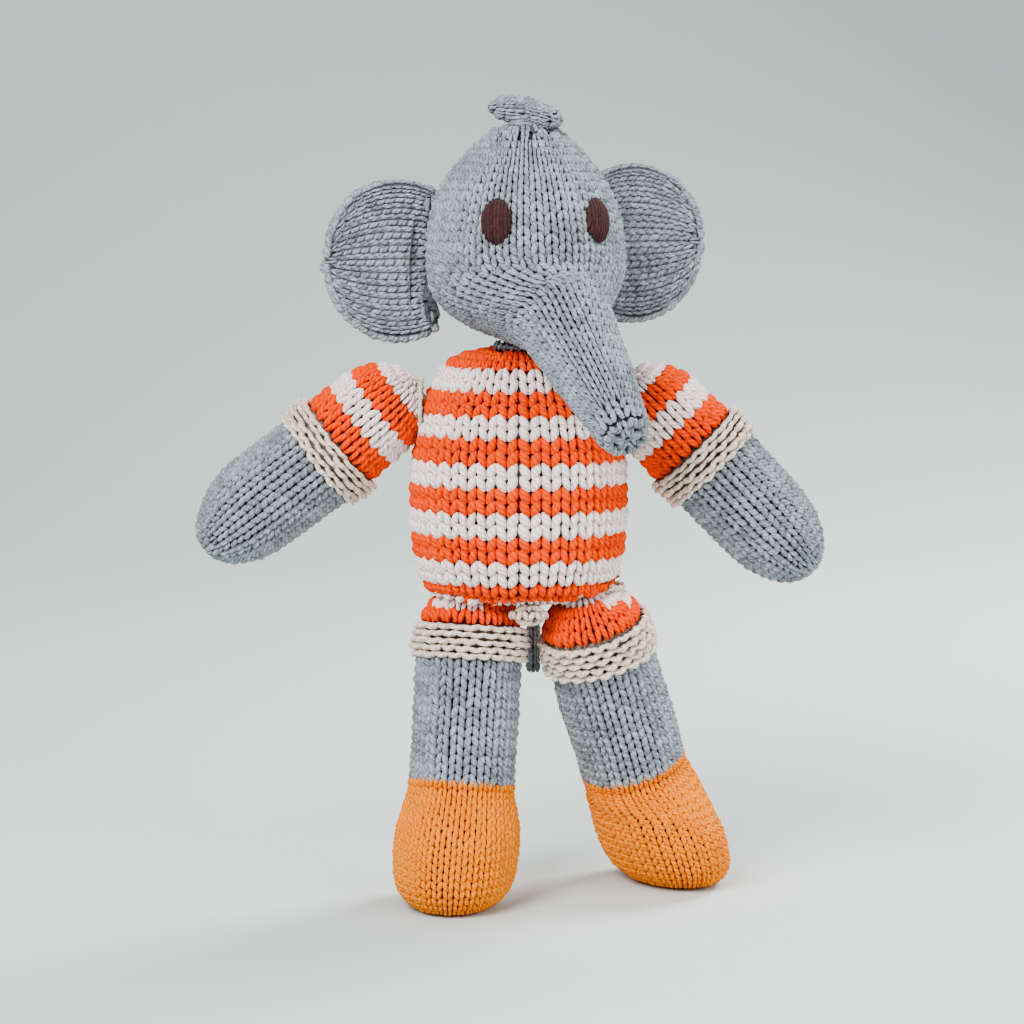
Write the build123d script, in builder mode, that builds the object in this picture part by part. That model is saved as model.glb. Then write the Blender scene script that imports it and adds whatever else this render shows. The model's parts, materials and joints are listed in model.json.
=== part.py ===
from build123d import *
from math import cos, radians, sin, sqrt
import os

# A hand-knitted standing toy elephant, facing -Y.  It is a set of knitted tubes, each stuffed and sewn
# shut: torso, head, trunk, two ears, two arms, two legs with shoes, and a tail.  Each knitted cover is a
# thin shell around its own stuffing.  A limb ends in a round, closed top that sits in a hollow of the
# torso with a ring of sewing between them, so it turns about the centre of its round top.  "Left" and
# "right" are the toy's own.  The origin is on the floor, at the middle of the toy's bounding box.

# ---- driving dimensions ---------------------------------------------------------------------------
WALL = 2.4  # thickness of the knitted fabric
GAP = 0.4  # clearance between pieces that turn against each other
SEAM = 2.0  # thickness of a ring of sewing between two stuffed pieces
SIDES = {"right": -1, "left": 1}  # the toy's right is at -X

MIDDLE_X, MIDDLE_Y = -3.05, -16.15  # from the torso's axis to the middle of the bounding box

# torso: height above the floor, half width, half depth
TORSO_SECTIONS = [
    (108.0, 28.0, 17.0),
    (112.0, 34.0, 23.0),
    (121.0, 37.0, 27.0),
    (134.0, 39.2, 29.2),
    (149.0, 40.2, 30.0),
    (164.0, 39.4, 29.5),
    (178.0, 36.6, 27.8),
    (188.0, 31.5, 25.0),
    (195.0, 24.5, 20.5),
    (199.0, 15.5, 14.0),
]
NECK_Z, NECK_RADIUS, NECK_THICKNESS = 200.6, 10.0, 1.2

# head: a turned form about a vertical axis, given by its height and radius
HEAD_X = 2.5
HEAD_YAW = 15.0  # the face looks this far towards the toy's left
HEAD_PROFILE = [
    (204.6, 10.0),
    (206.2, 19.5),
    (210.5, 27.5),
    (218.0, 33.4),
    (227.0, 35.9),
    (237.0, 36.2),
    (247.0, 34.8),
    (257.0, 30.6),
    (266.0, 24.0),
    (273.0, 16.8),
    (278.0, 10.5),
    (281.5, 6.0),
]
EYE_ANGLE, EYE_Z = 32.5, 248.5
EYE_HALF_WIDTH, EYE_HALF_HEIGHT, EYE_THICKNESS = 5.3, 7.8, 1.4
CROWN_TIE_RADIUS, CROWN_TIE_THICKNESS = 4.6, 1.0

# trunk: a tapered tube whose round root sits in a hollow of the face
TRUNK_YAW = 26.0
TRUNK_FORWARD, TRUNK_Z = 23.0, 219.5  # centre of the round root
TRUNK_DROP = 38.0  # degrees below the horizon
TRUNK_ROOT, TRUNK_TIP, TRUNK_LENGTH = 18.6, 8.8, 72.0
FACE_RELIEF = 5.0  # the face ends this far behind the root's centre

# ears: round cupped pads, upright, standing out from the sides of the head
EAR_HALF_WIDTH, EAR_HALF_HEIGHT, EAR_THICKNESS = 28.0, 30.0, 9.0
EAR_Z = {"right": 233.5, "left": 239.0}
EAR_ROOT_ANGLE, EAR_SPREAD_ANGLE = 112.0, 95.0  # measured from the face, round the head
EAR_ROOT_RADIUS = 40.0  # from the head's axis to the line where the ear folds
EAR_OUT = 7.0  # from that line to the middle of the pad
EAR_CLEARANCE = 3.4  # from the head to the pad
DISH_RADIUS, DISH_DEPTH = 46.0, 4.2
EAR_SEAM_THICKNESS, EAR_SEAM_REACH = 0.9, 14.0

# arms: distances from the shoulder centre along the arm
SHOULDER_X, SHOULDER_Z = 50.0, 179.5
ARM_TOP, HAND_RADIUS = 16.8, 18.2
SLEEVE_END, ARM_CUFF_END, HAND_DOME, ARM_LENGTH = 18.0, 30.0, 60.0, 84.0
ARM_DROP = {"right": 38.5, "left": 46.0}  # degrees below the horizon at rest

# legs: distances from the hip centre along the leg
HIP_X = {"right": -17.5, "left": 28.0}
HIP_Z, LEG_TOP, LEG_RADIUS = 97.0, 19.0, 19.6
THIGH_END, LEG_CUFF_END, SHIN_END = -3.0, 10.0, 55.5
LEG_LEAN = {"right": -3.5, "left": 16.0}  # degrees towards the toy's left
LEG_SWING = {"right": 9.0, "left": -14.0}  # degrees forward

# shoes: height above the floor, distance forward of the leg's axis, half width, half length
SHOE_SECTIONS = [
    (0.0, 7.0, 13.0, 18.5),
    (2.5, 7.0, 17.5, 23.8),
    (9.0, 7.0, 21.6, 28.2),
    (19.5, 6.5, 22.8, 29.2),
    (30.0, 5.0, 22.0, 26.8),
    (40.0, 2.0, 20.6, 22.6),
    (50.0, 0.0, 19.8, 20.0),
    (66.0, 0.0, 19.8, 19.8),
]
SHOE_YAW = {"right": -4.0, "left": 24.0}

TAIL_X, TAIL_Y, TAIL_Z = 5.6, 30.2, 118.0
TAIL_RADIUS, TAIL_LENGTH, TAIL_TILT = 2.6, 42.0, 4.0


# ---- places ---------------------------------------------------------------------------------------
TORSO = Location((-MIDDLE_X, -MIDDLE_Y, 0))
HEAD = TORSO * Location((HEAD_X, 0, 0)) * Rotation(0, 0, HEAD_YAW)
TRUNK = (TORSO * Location((HEAD_X, 0, 0)) * Rotation(0, 0, TRUNK_YAW)
         * Location((0, -TRUNK_FORWARD, TRUNK_Z)) * Rotation(TRUNK_DROP - 90, 0, 0))
TAIL = TORSO * Location((TAIL_X, TAIL_Y, TAIL_Z)) * Rotation(TAIL_TILT, 0, 0)


def shoulder_place(side):
    """The shoulder centre, with +Z pointing into the torso."""
    return TORSO * Location((SIDES[side] * SHOULDER_X, 0, SHOULDER_Z)) * Rotation(0, -SIDES[side] * 90, 0)


def arm_place(side):
    """The shoulder centre, with -Z pointing along the arm, outwards and down."""
    outwards = SIDES[side] * (90 - ARM_DROP[side])
    return TORSO * Location((SIDES[side] * SHOULDER_X, 0, SHOULDER_Z)) * Rotation(0, -outwards, 0)


def hip_place(side):
    """The hip centre, with +Z pointing up into the torso."""
    return TORSO * Location((HIP_X[side], 0, HIP_Z))


def leg_place(side):
    """The hip centre, with -Z pointing along the leg."""
    return hip_place(side) * Rotation(0, -LEG_LEAN[side], 0) * Rotation(-LEG_SWING[side], 0, 0)


def shoe_plane(side, height):
    """Level, on the leg's axis at a height above the floor, with -Y towards the toe."""
    along = leg_place(side).z_axis.direction
    hip = leg_place(side).position
    centre = hip + along * ((height - hip.Z) / along.Z)
    return Plane(Location((centre.X, centre.Y, height)) * Rotation(0, 0, SHOE_YAW[side]))


def ear_place(side):
    """The fold line of an ear: +Z up it, +X outwards, -Y towards its cupped face."""
    turn = SIDES[side] * (EAR_ROOT_ANGLE - EAR_SPREAD_ANGLE)
    return ear_root(side) * Location((EAR_ROOT_RADIUS, 0, 0)) * Rotation(0, 0, -turn)


def ear_root(side):
    """The head's axis, with +X pointing at the root of an ear."""
    return HEAD * Rotation(0, 0, SIDES[side] * EAR_ROOT_ANGLE - 90)


def plane_at(place, plane):
    """A plane given in a place's own coordinates."""
    return Plane(place * plane.location)


def write(piece, name):
    piece.part.label = name
    export_step(piece.part, f"parts/{name}.step")


# ---- forms that several pieces share ----------------------------------------------------------------
def torso_form(inset):
    """The torso, shrunk by an inset."""
    low, high = TORSO_SECTIONS[0][0], TORSO_SECTIONS[-1][0]
    shrink = (high - low - 2 * inset) / (high - low)
    with BuildPart() as form:
        for height, half_width, half_depth in TORSO_SECTIONS:
            with BuildSketch(Plane.XY.offset(low + inset + (height - low) * shrink)):
                Ellipse(half_width - inset, half_depth - inset)
        loft()
    return form.part


def head_form(offset):
    """The head about its own axis, grown by an offset or shrunk by a negative one."""
    low, high = HEAD_PROFILE[0][0], HEAD_PROFILE[-1][0]
    stretch = (high - low + 2 * offset) / (high - low)
    outline = [(radius + offset, low - offset + (height - low) * stretch) for height, radius in HEAD_PROFILE]
    with BuildPart() as form:
        with BuildSketch(Plane.XZ):
            with BuildLine():
                Spline(outline)
                Polyline(outline[-1], (0, outline[-1][1]), (0, outline[0][1]), outline[0])
            make_face()
        revolve(axis=Axis.Z)
    return form.part


def limb_form(top, end, length, dome_depth, inset):
    """A limb along -Z: a round top about the origin, a tube, and a domed or flat end."""
    top, end, length = top - inset, end - inset, length - (inset if dome_depth else 0)
    dome_depth = max(dome_depth - inset, 0)
    with BuildPart() as form:
        with BuildSketch(Plane.XZ):
            with BuildLine():
                ThreePointArc((0, top), (top * sin(radians(45)), top * cos(radians(45))), (top, 0))
                Spline((top, 0), (end, dome_depth - length), tangents=[(0, -1), (0, -1)])
                if dome_depth:
                    Spline((end, dome_depth - length),
                           (end * sin(radians(45)), dome_depth * (1 - cos(radians(45))) - length),
                           (0, -length), tangents=[(0, -1), (-1, 0)])
                else:
                    Line((end, -length), (0, -length))
                Line((0, -length), (0, top))
            make_face()
        revolve(axis=Axis.Z)
    return form.part


def egg_form(half_length, radius):
    """A rounded roll about the origin, along X."""
    with BuildPart() as form:
        with BuildSketch():
            with BuildLine():
                Spline((half_length, 0),
                       (half_length * cos(radians(45)), radius * sin(radians(45))), (0, radius),
                       (-half_length * cos(radians(45)), radius * sin(radians(45))), (-half_length, 0),
                       tangents=[(0, 1), (0, -1)])
                Line((-half_length, 0), (half_length, 0))
            make_face()
        revolve(axis=Axis.X)
    return form.part


def seam_form(radius, inner_angle, outer_angle):
    """A ring of sewing that lies on a round top, between two angles from +Z."""
    middle = (inner_angle + outer_angle) / 2
    near, far = [[(r * sin(radians(a)), r * cos(radians(a))) for a in (inner_angle, middle, outer_angle)]
                 for r in (radius + GAP, radius + GAP + SEAM)]
    with BuildPart() as form:
        with BuildSketch(Plane.XZ):
            with BuildLine():
                ThreePointArc(*near)
                ThreePointArc(*far)
                Line(near[0], far[0])
                Line(near[-1], far[-1])
            make_face()
        revolve(axis=Axis.Z)
    return form.part


os.makedirs("parts", exist_ok=True)

# ---- torso: a shell and its stuffing, with round hollows for the shoulders and hips -------------------
hollows = ([(SIDES[side] * SHOULDER_X, 0, SHOULDER_Z, ARM_TOP) for side in SIDES]
           + [(HIP_X[side], 0, HIP_Z, LEG_TOP) for side in SIDES])

with BuildPart() as torso_stuffing:
    with Locations(TORSO):
        add(torso_form(WALL))
    for x, y, z, radius in hollows:
        with Locations(TORSO * Location((x, y, z))):
            Sphere(radius + SEAM + 2 * GAP + WALL, mode=Mode.SUBTRACT)
write(torso_stuffing, "torso_stuffing")

with BuildPart() as torso_cover:
    with Locations(TORSO):
        add(torso_form(0))
    for x, y, z, radius in hollows:
        with Locations(TORSO * Location((x, y, z))):
            Sphere(radius + SEAM + 2 * GAP, mode=Mode.SUBTRACT)
    add(torso_stuffing.part, mode=Mode.SUBTRACT)
write(torso_cover, "torso_cover")

with BuildPart() as neck_seam:
    with Locations(TORSO * Location((HEAD_X, 0, NECK_Z))):
        Torus(NECK_RADIUS, NECK_THICKNESS)
write(neck_seam, "neck_seam")

# ---- head ---------------------------------------------------------------------------------------------
# The hollow for the trunk's root is a ball, opened forwards by a block so that the trunk can swing.
TRUNK_AHEAD = TRUNK * Rotation(180, 0, 0)  # +Z along the trunk

with BuildPart() as head_stuffing:
    with Locations(HEAD):
        add(head_form(-WALL))
    with Locations(TRUNK):
        Sphere(TRUNK_ROOT + GAP + WALL, mode=Mode.SUBTRACT)
    with Locations(TRUNK_AHEAD * Location((0, 0, 50 - FACE_RELIEF - WALL))):
        Box(120, 120, 100, mode=Mode.SUBTRACT)
write(head_stuffing, "head_stuffing")

with BuildPart() as head_cover:
    with Locations(HEAD):
        add(head_form(0))
    with Locations(TRUNK):
        Sphere(TRUNK_ROOT + GAP, mode=Mode.SUBTRACT)
    with Locations(TRUNK_AHEAD * Location((0, 0, 50 - FACE_RELIEF))):
        Box(120, 120, 100, mode=Mode.SUBTRACT)
    add(head_stuffing.part, mode=Mode.SUBTRACT)
write(head_cover, "head_cover")

for side, sign in SIDES.items():
    look = HEAD * Rotation(0, 0, sign * EYE_ANGLE)
    with BuildPart() as eye:
        with BuildSketch(plane_at(look, Plane.XZ)):
            with Locations((0, EYE_Z)):
                Ellipse(EYE_HALF_WIDTH, EYE_HALF_HEIGHT)
        extrude(amount=60)
        with Locations(HEAD):
            add(head_form(EYE_THICKNESS), mode=Mode.INTERSECT)
            add(head_form(0), mode=Mode.SUBTRACT)
    write(eye, f"{side}_eye")

# ---- crown: a tie round the gathered top, and the loose knitted end folded into lobes above it ---------
CROWN = HEAD * Location((0, 0, HEAD_PROFILE[-1][0]))


with BuildPart() as crown_tie:
    with Locations(CROWN * Location((0, 0, CROWN_TIE_THICKNESS + 0.1))):
        Torus(CROWN_TIE_RADIUS, CROWN_TIE_THICKNESS)
write(crown_tie, "crown_tie")

with BuildPart() as topknot:
    with Locations(CROWN * Location((0, 0, 3.5))):
        Cylinder(CROWN_TIE_RADIUS - CROWN_TIE_THICKNESS - 0.1, 7.0)
    with Locations(CROWN * Location((-1.8, 2.4, 7.0))):
        add(egg_form(11.5, 4.7))
    with Locations(CROWN * Location((4.4, -4.0, 7.4)) * Rotation(0, 10, -35)):
        add(egg_form(9.0, 4.7))
write(topknot, "topknot")


# ---- trunk ----------------------------------------------------------------------------------------------
def trunk_form(inset):
    """A round root about the origin, then a cone along -Z to a flat end with a rounded rim."""
    root, tip, length = TRUNK_ROOT - inset, TRUNK_TIP - inset, TRUNK_LENGTH - inset
    slope = (root - tip) / length
    upright = sqrt(1 - slope**2)
    rim = 2.5
    with BuildPart() as form:
        with BuildSketch(Plane.XZ):
            with BuildLine():
                ThreePointArc((0, root), (root * sin(radians(50)), root * cos(radians(50))),
                              (root * upright, -root * slope))
                Polyline((root * upright, -root * slope), (tip * upright, rim - length),
                         (tip * upright - rim, -length), (0, -length), (0, root))
            make_face()
        revolve(axis=Axis.Z)
    return form.part


with BuildPart() as trunk_stuffing:
    with Locations(TRUNK):
        add(trunk_form(WALL))
write(trunk_stuffing, "trunk_stuffing")

with BuildPart() as trunk_cover:
    with Locations(TRUNK):
        add(trunk_form(0))
    add(trunk_stuffing.part, mode=Mode.SUBTRACT)
write(trunk_cover, "trunk_cover")


# ---- ears -------------------------------------------------------------------------------------------
def ear_form(side, inset):
    """A round pad on its fold line, shrunk by an inset, dished in front and cut clear of the head."""
    fold = ear_place(side)
    depth = EAR_THICKNESS - 2 * inset
    with BuildPart() as form:
        with BuildSketch(plane_at(fold, Plane.XZ.offset(-depth / 2))):
            with Locations((EAR_OUT, EAR_Z[side])):
                Ellipse(EAR_HALF_WIDTH - inset, EAR_HALF_HEIGHT - inset)
        extrude(amount=depth)
        fillet(form.edges(), radius=depth * 0.46)
        dish_y = SIDES[side] * (DISH_DEPTH - DISH_RADIUS - EAR_THICKNESS / 2)
        with Locations(fold * Location((EAR_OUT + 3, dish_y, EAR_Z[side] - 2))):
            Sphere(DISH_RADIUS + inset, mode=Mode.SUBTRACT)
        with Locations(HEAD):
            add(head_form(EAR_CLEARANCE + inset), mode=Mode.SUBTRACT)
    return form.part


for side in SIDES:
    with BuildPart() as ear_padding:
        add(ear_form(side, 2.0))
    write(ear_padding, f"{side}_ear_padding")

    with BuildPart() as ear_cover:
        add(ear_form(side, 0))
        add(ear_padding.part, mode=Mode.SUBTRACT)
    write(ear_cover, f"{side}_ear_cover")

    # a row of sewing on the head, beside the ear's root
    with BuildPart() as ear_seam:
        with BuildSketch(plane_at(ear_root(side), Plane.XZ)):
            with Locations((EAR_ROOT_RADIUS - 2, EAR_Z[side])):
                Rectangle(20, 2 * EAR_SEAM_REACH)
        extrude(amount=EAR_SEAM_THICKNESS, both=True)
        with Locations(HEAD):
            add(head_form(2 * EAR_SEAM_THICKNESS), mode=Mode.INTERSECT)
            add(head_form(0), mode=Mode.SUBTRACT)
    write(ear_seam, f"{side}_ear_seam")


# ---- arms: a sleeve, a cuff and a mitten on one stuffing -------------------------------------------
def add_band(place, form, start, end):
    """The part of a limb's form between two distances along it."""
    with Locations(place):
        add(form)
    with Locations(place * Location((0, 0, -(start + end) / 2))):
        Box(200, 200, end - start, mode=Mode.INTERSECT)


for side in SIDES:
    place = arm_place(side)
    with BuildPart() as arm_stuffing:
        with Locations(place):
            add(limb_form(ARM_TOP, HAND_RADIUS, ARM_LENGTH, ARM_LENGTH - HAND_DOME, WALL))
    write(arm_stuffing, f"{side}_arm_stuffing")

    bands = {"sleeve": (-ARM_TOP, SLEEVE_END), "arm_cuff": (SLEEVE_END, ARM_CUFF_END),
             "hand": (ARM_CUFF_END, ARM_LENGTH)}
    for name, (start, end) in bands.items():
        with BuildPart() as band:
            add_band(place, limb_form(ARM_TOP, HAND_RADIUS, ARM_LENGTH, ARM_LENGTH - HAND_DOME, 0), start, end)
            add(arm_stuffing.part, mode=Mode.SUBTRACT)
        write(band, f"{side}_{name}")

    with BuildPart() as shoulder_seam:
        with Locations(shoulder_place(side)):
            add(seam_form(ARM_TOP, 12, 34))
    write(shoulder_seam, f"{side}_shoulder_seam")


# ---- legs: a thigh, a cuff and a shin on one stuffing, over a stuffed shoe ----------------------------
def shoe_form(side, inset):
    """The shoe and its ankle, shrunk by an inset, up to the end of the shin."""
    with BuildPart() as form:
        for height, forward, half_width, half_length in SHOE_SECTIONS:
            with BuildSketch(shoe_plane(side, max(height, inset + 0.4 * height))):
                with Locations((0, -forward)):
                    Ellipse(half_width - inset, half_length - inset)
        loft()
        with Locations(leg_place(side) * Location((0, 0, 50 - SHIN_END))):
            Box(200, 200, 100, mode=Mode.SUBTRACT)
    return form.part


for side in SIDES:
    place = leg_place(side)
    with BuildPart() as leg_stuffing:
        with Locations(place):
            add(limb_form(LEG_TOP, LEG_RADIUS, SHIN_END, 0, WALL))
    write(leg_stuffing, f"{side}_leg_stuffing")

    bands = {"thigh": (-LEG_TOP, THIGH_END), "leg_cuff": (THIGH_END, LEG_CUFF_END),
             "shin": (LEG_CUFF_END, SHIN_END)}
    for name, (start, end) in bands.items():
        with BuildPart() as band:
            add_band(place, limb_form(LEG_TOP, LEG_RADIUS, SHIN_END, 0, 0), start, end)
            add(leg_stuffing.part, mode=Mode.SUBTRACT)
        write(band, f"{side}_{name}")

    with BuildPart() as shoe_stuffing:
        add(shoe_form(side, WALL))
    write(shoe_stuffing, f"{side}_shoe_stuffing")

    with BuildPart() as shoe:
        add(shoe_form(side, 0))
        add(shoe_stuffing.part, mode=Mode.SUBTRACT)
    write(shoe, f"{side}_shoe")

    with BuildPart() as hip_seam:
        with Locations(hip_place(side)):
            add(seam_form(LEG_TOP, 10, 30))
    write(hip_seam, f"{side}_hip_seam")

# ---- tail -------------------------------------------------------------------------------------------
with BuildPart() as tail:
    with Locations(TAIL * Location((0, 0, -TAIL_LENGTH / 2))):
        Cylinder(TAIL_RADIUS, TAIL_LENGTH)
    fillet(tail.edges().filter_by(GeomType.CIRCLE), radius=TAIL_RADIUS * 0.9)
write(tail, "tail")
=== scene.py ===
import bpy
import json
import math
import numpy as np
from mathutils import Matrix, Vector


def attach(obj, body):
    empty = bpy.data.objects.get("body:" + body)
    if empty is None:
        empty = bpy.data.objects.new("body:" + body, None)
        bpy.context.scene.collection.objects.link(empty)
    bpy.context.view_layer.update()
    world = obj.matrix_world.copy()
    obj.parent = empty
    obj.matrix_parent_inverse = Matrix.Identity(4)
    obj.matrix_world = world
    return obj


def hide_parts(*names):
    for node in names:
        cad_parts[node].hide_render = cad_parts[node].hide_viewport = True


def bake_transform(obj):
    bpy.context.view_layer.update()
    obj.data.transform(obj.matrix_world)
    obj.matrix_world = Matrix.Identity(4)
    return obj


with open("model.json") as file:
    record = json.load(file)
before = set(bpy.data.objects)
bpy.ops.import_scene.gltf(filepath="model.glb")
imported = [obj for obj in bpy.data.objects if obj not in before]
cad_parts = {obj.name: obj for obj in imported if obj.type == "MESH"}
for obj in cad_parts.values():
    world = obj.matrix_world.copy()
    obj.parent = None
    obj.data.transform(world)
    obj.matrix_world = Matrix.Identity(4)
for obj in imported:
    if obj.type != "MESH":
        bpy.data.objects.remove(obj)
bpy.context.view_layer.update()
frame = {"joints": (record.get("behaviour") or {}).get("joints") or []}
print("frame loaded")

mm = 0.001
jointAt = {j["name"]: np.array(j["pos_m"]) / mm for j in frame["joints"]}
jointAxis = {j["name"]: np.array(j["axis"]) for j in frame["joints"]}
sides = {"right": -1, "left": 1}  # the toy's own; its right is at -X
toLeft, toBack, up = np.eye(3)
toFront = np.array([0.0, -1.0, 0.0])

headAt = jointAt["neck_turn"]
trunkAt = jointAt["trunk_curl"]
torsoAt = (jointAt["right_arm_swing"] + jointAt["left_arm_swing"]) / 2
headYaw = math.atan2(jointAxis["head_nod"][1], jointAxis["head_nod"][0])
trunkYaw = math.atan2(jointAxis["trunk_curl"][1], jointAxis["trunk_curl"][0])


# yarn materials
def link(tree, a, b):
    tree.links.new(a, b)


def mathNode(tree, operation, *values):
    node = tree.nodes.new("ShaderNodeMath")
    node.operation = operation
    for socket, value in zip(node.inputs, values):
        if isinstance(value, (int, float)):
            socket.default_value = value
        else:
            link(tree, value, socket)
    return node.outputs[0]


def mixColor(tree, blend, factor, a, b):
    node = tree.nodes.new("ShaderNodeMix")
    node.data_type = "RGBA"
    node.blend_type = blend
    for socket, value in zip((node.inputs[0], node.inputs[6], node.inputs[7]), (factor, a, b)):
        if isinstance(value, (int, float)):
            socket.default_value = value
        elif isinstance(value, tuple):
            socket.default_value = (*value, 1)
        else:
            link(tree, value, socket)
    return node.outputs[2]


def attribute(tree, name):
    node = tree.nodes.new("ShaderNodeAttribute")
    node.attribute_name = name
    return node


def newGroup(name, ins, outs):
    group = bpy.data.node_groups.new(name, "ShaderNodeTree")
    for label, kind, value in ins:
        socket = group.interface.new_socket(label, in_out="INPUT", socket_type=kind)
        socket.default_value = value
    for label, kind in outs:
        group.interface.new_socket(label, in_out="OUTPUT", socket_type=kind)
    return group, group.nodes.new("NodeGroupInput"), group.nodes.new("NodeGroupOutput")


def plyGroup():  # the twist of the plies and the loose hairs along a strand, as a height, and the grooves between the plies as a mask for painted shade
    group, gin, gout = newGroup(
        "plyTwist",
        [("Twists", "NodeSocketFloat", 3.0), ("Hair", "NodeSocketFloat", 0.35)],
        [("Height", "NodeSocketFloat"), ("Groove", "NodeSocketFloat")],
    )
    uv = group.nodes.new("ShaderNodeUVMap")
    uv.uv_map = "strand"
    parts = group.nodes.new("ShaderNodeSeparateXYZ")
    link(group, uv.outputs[0], parts.inputs[0])
    turn = mathNode(group, "MULTIPLY", parts.outputs[0], gin.outputs["Twists"])
    turn = mathNode(group, "ADD", turn, mathNode(group, "MULTIPLY", parts.outputs[1], 3.0))
    wave = mathNode(group, "SINE", mathNode(group, "MULTIPLY", turn, 2 * math.pi))
    ridge = mathNode(group, "MULTIPLY_ADD", wave, 0.5, 0.5)
    coords = group.nodes.new("ShaderNodeTexCoord")
    hairs = group.nodes.new("ShaderNodeTexNoise")
    hairs.inputs["Scale"].default_value = 2600
    hairs.inputs["Detail"].default_value = 3
    link(group, coords.outputs["Object"], hairs.inputs["Vector"])
    fuzz = mathNode(group, "MULTIPLY", hairs.outputs["Fac"], gin.outputs["Hair"])
    link(group, mathNode(group, "ADD", ridge, fuzz), gout.inputs["Height"])
    link(group, mathNode(group, "POWER", ridge, 0.6), gout.inputs["Groove"])
    return group


def heatherGroup():  # a blended yarn: light and dark fibres, and each stitch a little different
    group, gin, gout = newGroup(
        "heather",
        [
            ("Light", "NodeSocketColor", (1, 1, 1, 1)),
            ("Dark", "NodeSocketColor", (0, 0, 0, 1)),
            ("Amount", "NodeSocketFloat", 0.5),
            ("Size", "NodeSocketFloat", 700.0),
        ],
        [("Color", "NodeSocketColor")],
    )
    coords = group.nodes.new("ShaderNodeTexCoord")
    fine = group.nodes.new("ShaderNodeTexNoise")
    fine.inputs["Detail"].default_value = 4
    link(group, gin.outputs["Size"], fine.inputs["Scale"])
    link(group, coords.outputs["Object"], fine.inputs["Vector"])
    broad = group.nodes.new("ShaderNodeTexNoise")
    broad.inputs["Scale"].default_value = 60
    link(group, coords.outputs["Object"], broad.inputs["Vector"])
    shade = attribute(group, "shade")
    spread = mathNode(group, "MULTIPLY_ADD", fine.outputs["Fac"], 2.2, -0.75)
    spread = mathNode(group, "ADD", spread, mathNode(group, "MULTIPLY_ADD", shade.outputs["Fac"], 0.5, -0.25))
    spread = mathNode(group, "ADD", spread, mathNode(group, "MULTIPLY_ADD", broad.outputs["Fac"], 0.5, -0.25))
    dark = mathNode(group, "MULTIPLY", mathNode(group, "SUBTRACT", 1.0, spread), gin.outputs["Amount"])
    clamped = group.nodes.new("ShaderNodeClamp")
    link(group, dark, clamped.inputs["Value"])
    link(group, mixColor(group, "MIX", clamped.outputs[0], gin.outputs["Light"], gin.outputs["Dark"]),
         gout.inputs["Color"])
    return group


plyTwist, heather = plyGroup(), heatherGroup()

yarns = {
    "greyYarn": dict(light=(0.47, 0.505, 0.555), dark=(0.06, 0.064, 0.075),
                     amount=0.58, twists=2.0, slot="grey_yarn"),
    "sweaterYarn": dict(light=(1.0, 0.105, 0.010), dark=(0.66, 0.022, 0.002), amount=0.34, twists=2.0,
                        slot="striped_yarn", second=(0.97, 0.86, 0.84), secondDark=(0.66, 0.47, 0.44)),
    "creamYarn": dict(light=(0.86, 0.745, 0.65), dark=(0.48, 0.36, 0.28),
                      amount=0.34, twists=2.0, slot="cream_yarn"),
    "shoeYarn": dict(light=(1.0, 0.340, 0.036), dark=(0.74, 0.135, 0.008),
                     amount=0.36, twists=2.0, slot="shoe_yarn"),
    "eyeThread": dict(light=(0.115, 0.045, 0.045), dark=(0.030, 0.010, 0.012),
                      amount=0.6, twists=5.0, slot="eye_thread"),
    "fibreFill": dict(light=(0.86, 0.85, 0.82), dark=(0.62, 0.60, 0.56),
                      amount=0.4, twists=0.0, slot="fibre_fill"),
}


def yarnMaterial(name, light, dark, amount, twists, slot, second=None, secondDark=None, shadeBrightness=1.0):
    material = bpy.data.materials.new(name)
    material.use_nodes = True
    tree = material.node_tree
    shader = tree.nodes["Principled BSDF"]
    fibre = tree.nodes.new("ShaderNodeGroup")
    fibre.node_tree = heather
    fibre.inputs["Light"].default_value = (*light, 1)
    fibre.inputs["Dark"].default_value = (*dark, 1)
    fibre.inputs["Amount"].default_value = amount
    color = fibre.outputs["Color"]
    if second:  # the other colour of a striped knit
        other = tree.nodes.new("ShaderNodeGroup")
        other.node_tree = heather
        other.inputs["Light"].default_value = (*second, 1)
        other.inputs["Dark"].default_value = (*secondDark, 1)
        other.inputs["Amount"].default_value = amount * 0.8
        color = mixColor(tree, "MIX", attribute(tree, "stripe").outputs["Fac"], color, other.outputs["Color"])
    ply = tree.nodes.new("ShaderNodeGroup")
    ply.node_tree = plyTwist
    ply.inputs["Twists"].default_value = twists
    # painted shade: the base colour is darker in the grooves between the plies, and darker all over in the
    # materials for the fabric under the stitches
    deep = mathNode(tree, "MULTIPLY_ADD", ply.outputs["Groove"], 0.35 * shadeBrightness, 0.68 * shadeBrightness)
    shadow = tree.nodes.new("ShaderNodeCombineColor")
    for socket in shadow.inputs:
        link(tree, deep, socket)
    link(tree, mixColor(tree, "MULTIPLY", 1.0, color, shadow.outputs[0]), shader.inputs["Base Color"])
    bump = tree.nodes.new("ShaderNodeBump")
    bump.inputs["Strength"].default_value = 0.75
    bump.inputs["Distance"].default_value = 0.00035
    link(tree, ply.outputs["Height"], bump.inputs["Height"])
    link(tree, bump.outputs[0], shader.inputs["Normal"])
    shader.inputs["Roughness"].default_value = 0.92
    shader.inputs["Specular IOR Level"].default_value = 0.12
    shader.inputs["Sheen Weight"].default_value = 0.06
    shader.inputs["Sheen Roughness"].default_value = 0.5
    return material


materials = {name: yarnMaterial(name, **values) for name, values in yarns.items()}
# the fabric under the stitches: each yarn again, darkened all over as painted shade in the gaps between the
# stitches
shadedUnder = {name: yarnMaterial(name + "Under", shadeBrightness=0.7 if name == "creamYarn" else 0.42, **values)
         for name, values in yarns.items()}
print("materials made")


# meshes
def unit(v):
    return v / np.maximum(np.linalg.norm(v, axis=-1, keepdims=True), 1e-9)


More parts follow.
